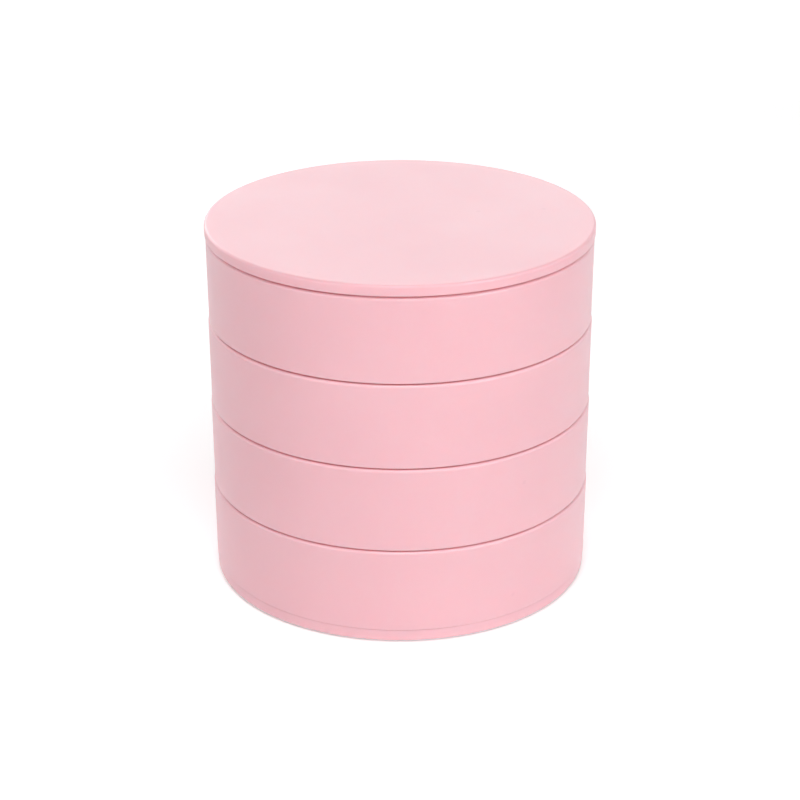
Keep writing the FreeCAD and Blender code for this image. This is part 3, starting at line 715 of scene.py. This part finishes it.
def coverScrews():
    low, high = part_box("base_cover_screws")
    start, end, edge = low.z + screw["headDepth"], high.z - screw["shank"], screw["headEdge"]
    profile = [(0, low.z), (screw["head"] - edge, low.z), (screw["head"], low.z + edge)]
    profile += [(screw["shank"], height) for height in evenly(start, end, screw["rows"])]
    profile += [(screw["tip"], high.z - screw["tipDepth"]), (0, high.z)]
    arm = (screw["slotLength"], screw["slotWidth"])

    def cutThread(around, radius, height):
        inside = start <= height <= end and radius <= screw["shank"] + tiny
        return -screw["thread"] * (1 - threadWave(height, around, screw["pitch"])) if inside else 0

    screws = []
    for angle, spot in screwSpots:
        piece = lathe("tool", profile, spot, screw["turns"], wobble=cutThread)
        turned = Matrix.Translation((*spot, 0)) @ Matrix.Rotation(angle + screw["slotTurn"], 4, "Z")
        for x, y in (arm, arm[::-1]):  # the two arms of the cross slot
            outline = rectangle((-x, x), (-y, y))
            cut(piece, slab("tool", outline, low.z - mm, low.z + screw["slotDepth"], standing=turned))
        screws.append(piece)
    piece = together(screws)
    piece.name = "base_cover_screws_cut"
    dress(piece, "base", zincSteel, ["base_cover_screws"], sharpAngle=30)


bolt = {"shank": 2.5 * mm, "head": 4.75 * mm, "headHeight": 3.4 * mm, "headRound": 1.1 * mm, "edge": 0.2 * mm,
        "key": 1.75 * mm, "keySides": 6, "keyDepth": 2.0 * mm, "shoulderGap": 0.3 * mm, "tip": 0.4 * mm,
        "thread": 2.1 * mm, "threadDepth": 0.25 * mm, "pitch": 0.8 * mm, "rows": 96, "turns": 72}


def pivotBolt():
    low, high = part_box("pivot_bolt")
    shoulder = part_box("lid_cover")[0].z - bolt["shoulderGap"]
    rise = high.z - shoulder - bolt["tip"]
    headTop, edge = low.z + bolt["headHeight"], bolt["edge"]
    corners = [(0, low.z, 0), (bolt["head"], low.z, bolt["headRound"]), (bolt["head"], headTop, edge),
               (bolt["shank"], headTop, edge), (bolt["shank"], shoulder, edge), (bolt["thread"], shoulder, 0)]
    profile = [(p.x, p.y) for p in softOutline(corners)]
    profile += [(bolt["thread"], shoulder + rise * i / bolt["rows"]) for i in range(1, bolt["rows"] + 1)]
    profile += [(bolt["thread"] - bolt["tip"], high.z), (0, high.z)]

    def cutThread(around, radius, height):
        inside = shoulder < height <= shoulder + rise and radius <= bolt["thread"] + tiny
        return -bolt["threadDepth"] * (1 - threadWave(height, around, bolt["pitch"])) if inside else 0

    piece = lathe("pivot_bolt_turned", profile, (0, pivotY), bolt["turns"], wobble=cutThread)
    keyOutline = circlePoints(bolt["key"], (0, pivotY), bolt["keySides"])
    cut(piece, slab("tool", keyOutline, low.z - mm, low.z + bolt["keyDepth"]))
    dress(piece, "lid", zincSteel, ["pivot_bolt"], sharpAngle=30)


insert = {"outer": 3.2 * mm, "inner": 2.13 * mm, "groove": 0.4 * mm, "band": 2.2 * mm, "knurl": 0.16 * mm,
          "teeth": 30, "lean": 2200.0, "rows": 14, "turns": 240}


def lidInsert():
    low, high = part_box("lid_insert")
    groove = insert["outer"] - insert["groove"]
    profile = [(insert["inner"], low.z)]
    for start, end in ((low.z, low.z + insert["band"]), (high.z - insert["band"], high.z)):
        if start > low.z:
            profile += [(groove, start)]
        profile += [(insert["outer"], height) for height in evenly(start, end, insert["rows"])]
        if start == low.z:
            profile += [(groove, end)]
    profile += [(insert["inner"], high.z)]

    def knurl(around, radius, height):
        if radius < insert["outer"] - tiny:
            return 0
        left = math.cos(insert["teeth"] * around + insert["lean"] * height)
        right = math.cos(insert["teeth"] * around - insert["lean"] * height)
        return -insert["knurl"] * (0.5 - 0.5 * min(left, right))

    piece = lathe("lid_insert_knurled", profile, (0, pivotY), insert["turns"], loop=True, wobble=knurl)
    dress(piece, "lid", turnedBrass, ["lid_insert"], sharpAngle=30)


ringForm = {"edge": 0.08 * mm, "washerEdge": 0.2 * mm, "seatBore": 4.8 * mm, "bore": 2.6 * mm, "turns": 96}


def flatRing(node, body, finish, edge, bore):
    low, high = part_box(node)
    outline = softRectangle((bore, high.x), (low.z, high.z), edge)
    piece = lathe(node + "_ring", [(p.x, p.y) for p in outline], (0, pivotY), ringForm["turns"], loop=True)
    dress(piece, body, finish, [node])


spring = {"inner": 2.6 * mm, "outer": 5.2 * mm, "sheet": 0.4 * mm, "edge": 0.1 * mm, "waves": 3, "turns": 144}


def waveSpring():
    low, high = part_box("wave_spring")
    middle = (low.z + high.z) / 2
    swing = (high.z - low.z - spring["sheet"]) / 2
    half = spring["sheet"] / 2
    outline = softRectangle((spring["inner"], spring["outer"]), (-half, half), spring["edge"])
    mesh = bmesh.new()
    rings = []
    for i in range(spring["turns"]):
        angle = 2 * math.pi * i / spring["turns"]
        lift = middle + swing * math.cos(spring["waves"] * angle)
        rings.append([mesh.verts.new((p.x * math.cos(angle), pivotY + p.x * math.sin(angle), lift + p.y))
                      for p in outline])
    for i in range(spring["turns"]):
        for k in range(len(outline)):
            here, there = rings[i], rings[(i + 1) % spring["turns"]]
            j = (k + 1) % len(outline)
            mesh.faces.new((here[k], here[j], there[j], there[k]))
    dress(newPiece("wave_spring_sheet", mesh), "base", zincSteel, ["wave_spring"])


coverScrews()
pivotBolt()
lidInsert()
flatRing("spacer_1", "tray_1", slipNylon, ringForm["edge"], ringForm["seatBore"])
for node, body in (("spacer_2", "tray_2"), ("spacer_3", "tray_3"), ("spacer_4", "base")):
    flatRing(node, body, slipNylon, ringForm["edge"], ringForm["bore"])
flatRing("bolt_washer", "base", zincSteel, ringForm["washerEdge"], ringForm["bore"])
waveSpring()
print("hardware turned")


# Loose dividers

divider = {"corner": 2.2 * mm, "topRound": 1.0 * mm, "gap": 0.2 * mm, "hook": 5.0 * mm, "edge": 0.22 * mm,
           "cornerRound": 0.6 * mm, "notchRound": 0.32 * mm}


def upright(lengthways, across):  # turns an outline drawn as (length, height) upright
    if lengthways == "x":
        return Matrix(((1, 0, 0, 0), (0, 0, 1, across), (0, 1, 0, 0), (0, 0, 0, 1)))
    return Matrix(((0, 0, 1, across), (1, 0, 0, 0), (0, 1, 0, 0), (0, 0, 0, 1)))


def dividerPlate(node, body, lengthways, outline):
    low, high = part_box(node)
    thin = 1 if lengthways == "x" else 0
    half = (high[thin] - low[thin]) / 2
    piece = slab(node + "_plate", outline, -half, half, divider["edge"],
                 standing=upright(lengthways, middleOf(node, thin)))
    dress(piece, body, pinkPlastic, [node])


def fullDivider(node, body, lengthways, notches, fromTop, depth):
    low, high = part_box(node)
    long = 0 if lengthways == "x" else 1
    start, end, foot, top = low[long], high[long], low.z, high.z
    halfSlot = tray["slotHalf"]
    corner, soft, tight = divider["corner"], divider["cornerRound"], divider["notchRound"]
    bottom = [(start, foot + corner, soft), (start + corner, foot, soft)]
    upper = [(end, top, divider["topRound"])]
    for notch in sorted(notches):
        if not fromTop:
            bottom += [(notch - halfSlot, foot, tight), (notch - halfSlot, foot + depth, tight),
                       (notch + halfSlot, foot + depth, tight), (notch + halfSlot, foot, tight)]
    bottom += [(end - corner, foot, soft), (end, foot + corner, soft)]
    for notch in sorted(notches, reverse=True):
        if fromTop:
            upper += [(notch + halfSlot, top, tight), (notch + halfSlot, top - depth, tight),
                      (notch - halfSlot, top - depth, tight), (notch - halfSlot, top, tight)]
    outline = softOutline(bottom + upper + [(start, top, divider["topRound"])], steps=4)
    dividerPlate(node, body, lengthways, outline)


def hookedDivider(node, body, direction):
    low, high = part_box(node)
    far = high.y if direction > 0 else low.y
    hook = low.y if direction > 0 else high.y
    near = hook + (2 * tray["slotHalf"] + (high.x - low.x)) * direction
    corner, soft, tight = divider["corner"], divider["cornerRound"], divider["notchRound"]
    foot, top = low.z, high.z
    corners = [(near, foot, soft), (far - corner * direction, foot, soft), (far, foot + corner, soft),
               (far, top, divider["topRound"]), (hook, top, soft), (hook, top - divider["hook"], tight),
               (near, top - divider["hook"], tight)]
    dividerPlate(node, body, "y", softOutline(corners, steps=4))


def looseDividers():
    studFoot, studTop = (corner.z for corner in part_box("stud_tray_wide_divider"))
    halfNotch = (studTop - studFoot + divider["gap"]) / 2
    hookNotch = divider["hook"] + divider["gap"]
    wall = middleOf("stud_tray_wide_divider", 1)
    cross = middleOf("stud_tray_right_divider", 0)
    fullDivider("ring_tray_wide_divider", "tray_1", "x", [0.0], True, hookNotch)
    fullDivider("stud_tray_wide_divider", "tray_2", "x", [-cross, cross], True, halfNotch)
    fullDivider("stud_tray_left_divider", "tray_2", "y", [wall], False, halfNotch)
    fullDivider("stud_tray_right_divider", "tray_2", "y", [wall], False, halfNotch)
    fullDivider("bangle_tray_wide_divider", "tray_3", "x", [0.0], True, hookNotch)
    hookedDivider("ring_tray_short_divider", "tray_1", 1)
    hookedDivider("bangle_tray_short_divider", "tray_3", -1)


looseDividers()
print("dividers cut")


# Ring rolls: foam rolls in a velvet sleeve, tucked at the ends, with a sewn seam low at the back

roll = {"endRound": 2.8 * mm, "around": 64, "along": 74, "endRings": 8, "slack": 0.28 * mm,
        "dimple": 0.9 * mm, "seam": 0.20 * mm, "seamAngle": -2.2, "seamWidth": 0.10, "stitch": 2.4 * mm,
        "stitchDepth": 0.7, "stitchSwing": 0.3, "puff": 0.05 * mm, "puffScale": 420.0, "tucks": 13,
        "tuck": 0.22 * mm, "tuckReach": 3.2 * mm, "tuckDrift": 1.7, "tuckScale": 30, "flat": 0.25 * mm,
        "clear": 0.02 * mm, "axis": 1e-7}
sleeve = {"enlarge": 50.0, "frames": 16, "pressure": 2.5, "growth": 0.045, "tension": 8.0, "bending": 0.15,
          "quality": 5, "most": 0.55 * mm, "gluedEnd": 0.4}


def rollSize(node):  # its middle, half its length and half its thickness
    low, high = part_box(node)
    return (low + high) / 2, (high.x - low.x) / 2, (high.z - low.z) / 2


def rollRows(half, radius):  # (place along, radius) of every ring of points, from end to end
    inside = half - roll["endRound"]
    flatReach = radius - roll["endRound"]
    straight = [(-inside + 2 * inside * i / roll["along"], radius) for i in range(roll["along"] + 1)]
    shoulder, face = [], []
    for i in range(1, roll["endRings"] + 1):
        turn = math.pi / 2 * i / roll["endRings"]
        shoulder.append((inside + roll["endRound"] * math.sin(turn),
                         flatReach + roll["endRound"] * math.cos(turn)))
    for i in range(1, roll["endRings"]):
        share = 1 - i / roll["endRings"]
        face.append((half - roll["dimple"] * (1 - share) ** 2, flatReach * share))
    right = shoulder + face
    return [(-x, r) for x, r in reversed(right)] + straight + right


def plainRoll(node):
    half, radius = rollSize(node)[1:]
    mesh = bmesh.new()
    rings = []
    turns = [2 * math.pi * k / roll["around"] for k in range(roll["around"])]
    for along, reach in rollRows(half, radius - roll["slack"]):
        rings.append([mesh.verts.new((along, reach * math.cos(t), reach * math.sin(t))) for t in turns])
    tips = [mesh.verts.new((side * (half - roll["dimple"]), 0, 0)) for side in (-1, 1)]
    for near, far in zip(rings, rings[1:]):
        for k in range(roll["around"]):
            j = (k + 1) % roll["around"]
            mesh.faces.new((near[k], near[j], far[j], far[k]))
    for tip, ring in zip(tips, (rings[0], rings[-1])):
        for k in range(roll["around"]):
            mesh.faces.new((ring[k], ring[(k + 1) % roll["around"]], tip))
    return newPiece(node + "_velvet", mesh)


def seamAway(point):  # how far round from the seam, in radians
    return math.remainder(math.atan2(point.z, point.y) - roll["seamAngle"], 2 * math.pi)


def clotheRolls(pieces):  # the sleeves grow a little and are blown up against their glued ends and seam
    for node, piece in zip(rollNodes, pieces):
        half = rollSize(node)[1]
        glued = piece.vertex_groups.new(name="glued")
        ends = half - roll["endRound"] * sleeve["gluedEnd"]
        held = [v.index for v in piece.data.vertices
                if abs(v.co.x) > ends or abs(seamAway(v.co)) < roll["seamWidth"] / 2]
        glued.add(held, 1.0, "REPLACE")
        piece["plain"] = [c for v in piece.data.vertices for c in v.co]
        piece.data.transform(Matrix.Scale(sleeve["enlarge"], 4))
        cloth = piece.modifiers.new("sleeve", "CLOTH")
        cloth.settings.effector_weights.gravity = 0
        cloth.settings.use_pressure = True
        cloth.settings.uniform_pressure_force = sleeve["pressure"]
        cloth.settings.vertex_group_mass = "glued"
        cloth.settings.shrink_min = -sleeve["growth"]
        cloth.settings.tension_stiffness = sleeve["tension"]
        cloth.settings.compression_stiffness = sleeve["tension"]
        cloth.settings.bending_stiffness = sleeve["bending"]
        cloth.settings.quality = sleeve["quality"]
        cloth.point_cache.frame_end = sleeve["frames"]
    for frameNumber in range(1, sleeve["frames"] + 1):
        scene.frame_set(frameNumber)
    for piece in pieces:
        settle(piece)
        piece.vertex_groups.clear()
        plain = piece["plain"]
        for v in piece.data.vertices:
            home = Vector(plain[3 * v.index:3 * v.index + 3])
            move = v.co / sleeve["enlarge"] - home
            v.co = home + move * min(1.0, sleeve["most"] / max(move.length, tiny))
        del piece["plain"]
    scene.frame_set(1)


def sewRoll(piece, node):  # seam stitches, tucks and a flat underside, once the sleeve is full
    middle, half, radius = rollSize(node)
    finer = piece.modifiers.new("finer", "SUBSURF")
    finer.levels = 1
    settle(piece)
    limit = radius - roll["clear"]
    for v in piece.data.vertices:
        across = Vector((0, v.co.y, v.co.z))
        reach = across.length
        outward = across / reach if reach > roll["axis"] else Vector()  # the tips lie on the axis
        angle = math.atan2(v.co.z, v.co.y)
        stitched = roll["stitchDepth"] + roll["stitchSwing"] * math.cos(2 * math.pi * v.co.x / roll["stitch"])
        sunk = math.exp(-(seamAway(v.co) / roll["seamWidth"]) ** 2) * min(1, reach / radius)
        reach -= roll["seam"] * stitched * sunk
        near = max(0.0, 1 - (half - abs(v.co.x)) / roll["tuckReach"])
        drift = roll["tuckDrift"] * noise.noise(Vector((v.co.x * roll["tuckScale"], angle, 0)))
        fold = 0.5 + 0.5 * math.cos(roll["tucks"] * angle + drift)
        reach -= roll["tuck"] * near * fold * min(1.0, 2 * reach / radius)
        reach += roll["puff"] * noise.noise((v.co + middle) * roll["puffScale"])
        point = outward * min(reach, limit)
        point.z = max(point.z, -(limit - roll["flat"]))
        v.co = middle + Vector((max(-half, min(half, v.co.x)), point.y, point.z))
    dress(piece, "tray_1", rollVelvet, [node], sharpAngle=70)


rollNodes = [f"ring_roll_{number}" for number in range(1, 5)]
rollPieces = [plainRoll(node) for node in rollNodes]
print("ring rolls shaped")
clotheRolls(rollPieces)
print("sleeves filled")
for node, piece in zip(rollNodes, rollPieces):
    sewRoll(piece, node)
print("ring rolls sewn")


# Floor, lamps and camera

studio = {
    "floorShade": (0.92, 0.92, 0.92), "floorLift": 0.34, "farLift": 1.0, "liftFrom": 0.5, "liftTo": 1.8,
    "floorSize": 12.0, "floorDrop": 0.02 * mm, "worldLight": 0.12, "aim": (0, 0, 0.06),
}
lamps = [  # name, place, size, power; in metres and watts, all turned to the middle of the box
    ("over_front", (0, -0.60, 1.10), 0.7, 7.1),
    ("over_back", (0, 0.75, 0.95), 0.25, 0.8),
    ("front_right", (0.85, -0.85, 0.40), 0.6, 5.3),
    ("front_left", (-0.85, -0.85, 0.40), 0.6, 2.8),
    ("right", (1.20, -0.20, 0.40), 0.6, 1.1),
    ("left", (-1.20, -0.20, 0.40), 0.6, 0.5),
    ("back", (0, 1.20, 0.52), 0.8, 1.7),
    ("back_left", (-0.60, 1.05, 0.52), 0.7, 4.2),
]
photoView = {"lens": 98.27, "elevation": 23.487, "distance": 0.60699, "aimHeight": 0.0476, "side": 0.00023,
             "roll": 0.07}


def pureWhite(tree, lit, strength):  # what the camera, mirrors and glass see is lifted to white
    path = tree.nodes.new("ShaderNodeLightPath")
    seen = tree.nodes.new("ShaderNodeMath")
    seen.operation = "MAXIMUM"
    tree.links.new(path.outputs["Is Camera Ray"], seen.inputs[0])
    tree.links.new(path.outputs["Is Glossy Ray"], seen.inputs[1])
    both = tree.nodes.new("ShaderNodeMath")
    both.operation = "MAXIMUM"
    tree.links.new(seen.outputs[0], both.inputs[0])
    tree.links.new(path.outputs["Is Transmission Ray"], both.inputs[1])
    ranged = tree.nodes.new("ShaderNodeMapRange")
    ranged.inputs["To Min"].default_value = lit
    ranged.inputs["To Max"].default_value = strength
    tree.links.new(both.outputs[0], ranged.inputs["Value"])
    return ranged.outputs[0]


def studioFloor():
    half = studio["floorSize"] / 2
    mesh = bmesh.new()
    corners = rectangle((-half, half), (-half, half))
    mesh.faces.new([mesh.verts.new((x, y, -studio["floorDrop"])) for x, y in corners])
    floor = newPiece("studio_floor", mesh)
    finish = newFinish("paleFloor")
    tree = finish.node_tree
    out = tree.nodes.new("ShaderNodeOutputMaterial")
    card = tree.nodes.new("ShaderNodeBsdfDiffuse")
    card.inputs["Color"].default_value = (*studio["floorShade"], 1)
    away = tree.nodes.new("ShaderNodeVectorMath")
    away.operation = "LENGTH"
    tree.links.new(tree.nodes.new("ShaderNodeTexCoord").outputs["Object"], away.inputs[0])
    further = tree.nodes.new("ShaderNodeMapRange")  # the floor stays white where the lamps no longer reach
    further.inputs["From Min"].default_value = studio["liftFrom"]
    further.inputs["From Max"].default_value = studio["liftTo"]
    further.inputs["To Min"].default_value = studio["floorLift"]
    further.inputs["To Max"].default_value = studio["farLift"]
    tree.links.new(away.outputs["Value"], further.inputs["Value"])
    raised = tree.nodes.new("ShaderNodeMath")
    raised.operation = "MULTIPLY"
    tree.links.new(pureWhite(tree, 0.0, 1.0), raised.inputs[0])
    tree.links.new(further.outputs[0], raised.inputs[1])
    lift = tree.nodes.new("ShaderNodeEmission")
    tree.links.new(raised.outputs[0], lift.inputs["Strength"])
    both = tree.nodes.new("ShaderNodeAddShader")
    tree.links.new(card.outputs[0], both.inputs[0])
    tree.links.new(lift.outputs[0], both.inputs[1])
    tree.links.new(both.outputs[0], out.inputs["Surface"])
    floor.data.materials.append(finish)


def studioWorld():
    world = bpy.data.worlds.new("studio")
    world.use_nodes = True
    scene.world = world
    tree = world.node_tree
    tree.nodes.clear()
    out = tree.nodes.new("ShaderNodeOutputWorld")
    sky = tree.nodes.new("ShaderNodeBackground")
    sky.inputs["Color"].default_value = (1, 1, 1, 1)
    tree.links.new(pureWhite(tree, studio["worldLight"], 1.0), sky.inputs["Strength"])
    tree.links.new(sky.outputs[0], out.inputs["Surface"])


def studioLamps():
    for name, place, size, power in lamps:
        lamp = bpy.data.lights.new(name, "AREA")
        lamp.shape = "DISK"
        lamp.size = size
        lamp.energy = power
        holder = bpy.data.objects.new(name, lamp)
        holder.location = place
        holder.rotation_euler = (Vector(studio["aim"]) - Vector(place)).to_track_quat("-Z", "Y").to_euler()
        holder.visible_camera = False
        scene.collection.objects.link(holder)


def photoCamera():
    tilt = math.radians(photoView["elevation"])
    lens = bpy.data.cameras.new("camera")
    lens.lens = photoView["lens"]
    lens.sensor_width = 36.0
    lens.clip_start = 0.01
    camera = bpy.data.objects.new("camera", lens)
    camera.location = (photoView["side"], -photoView["distance"] * math.cos(tilt),
                       photoView["aimHeight"] + photoView["distance"] * math.sin(tilt))
    camera.rotation_euler = (math.pi / 2 - tilt, math.radians(photoView["roll"]), 0)
    scene.collection.objects.link(camera)
    scene.camera = camera


studioFloor()
studioWorld()
studioLamps()
photoCamera()
scene.view_settings.view_transform = "Standard"
print("studio set")
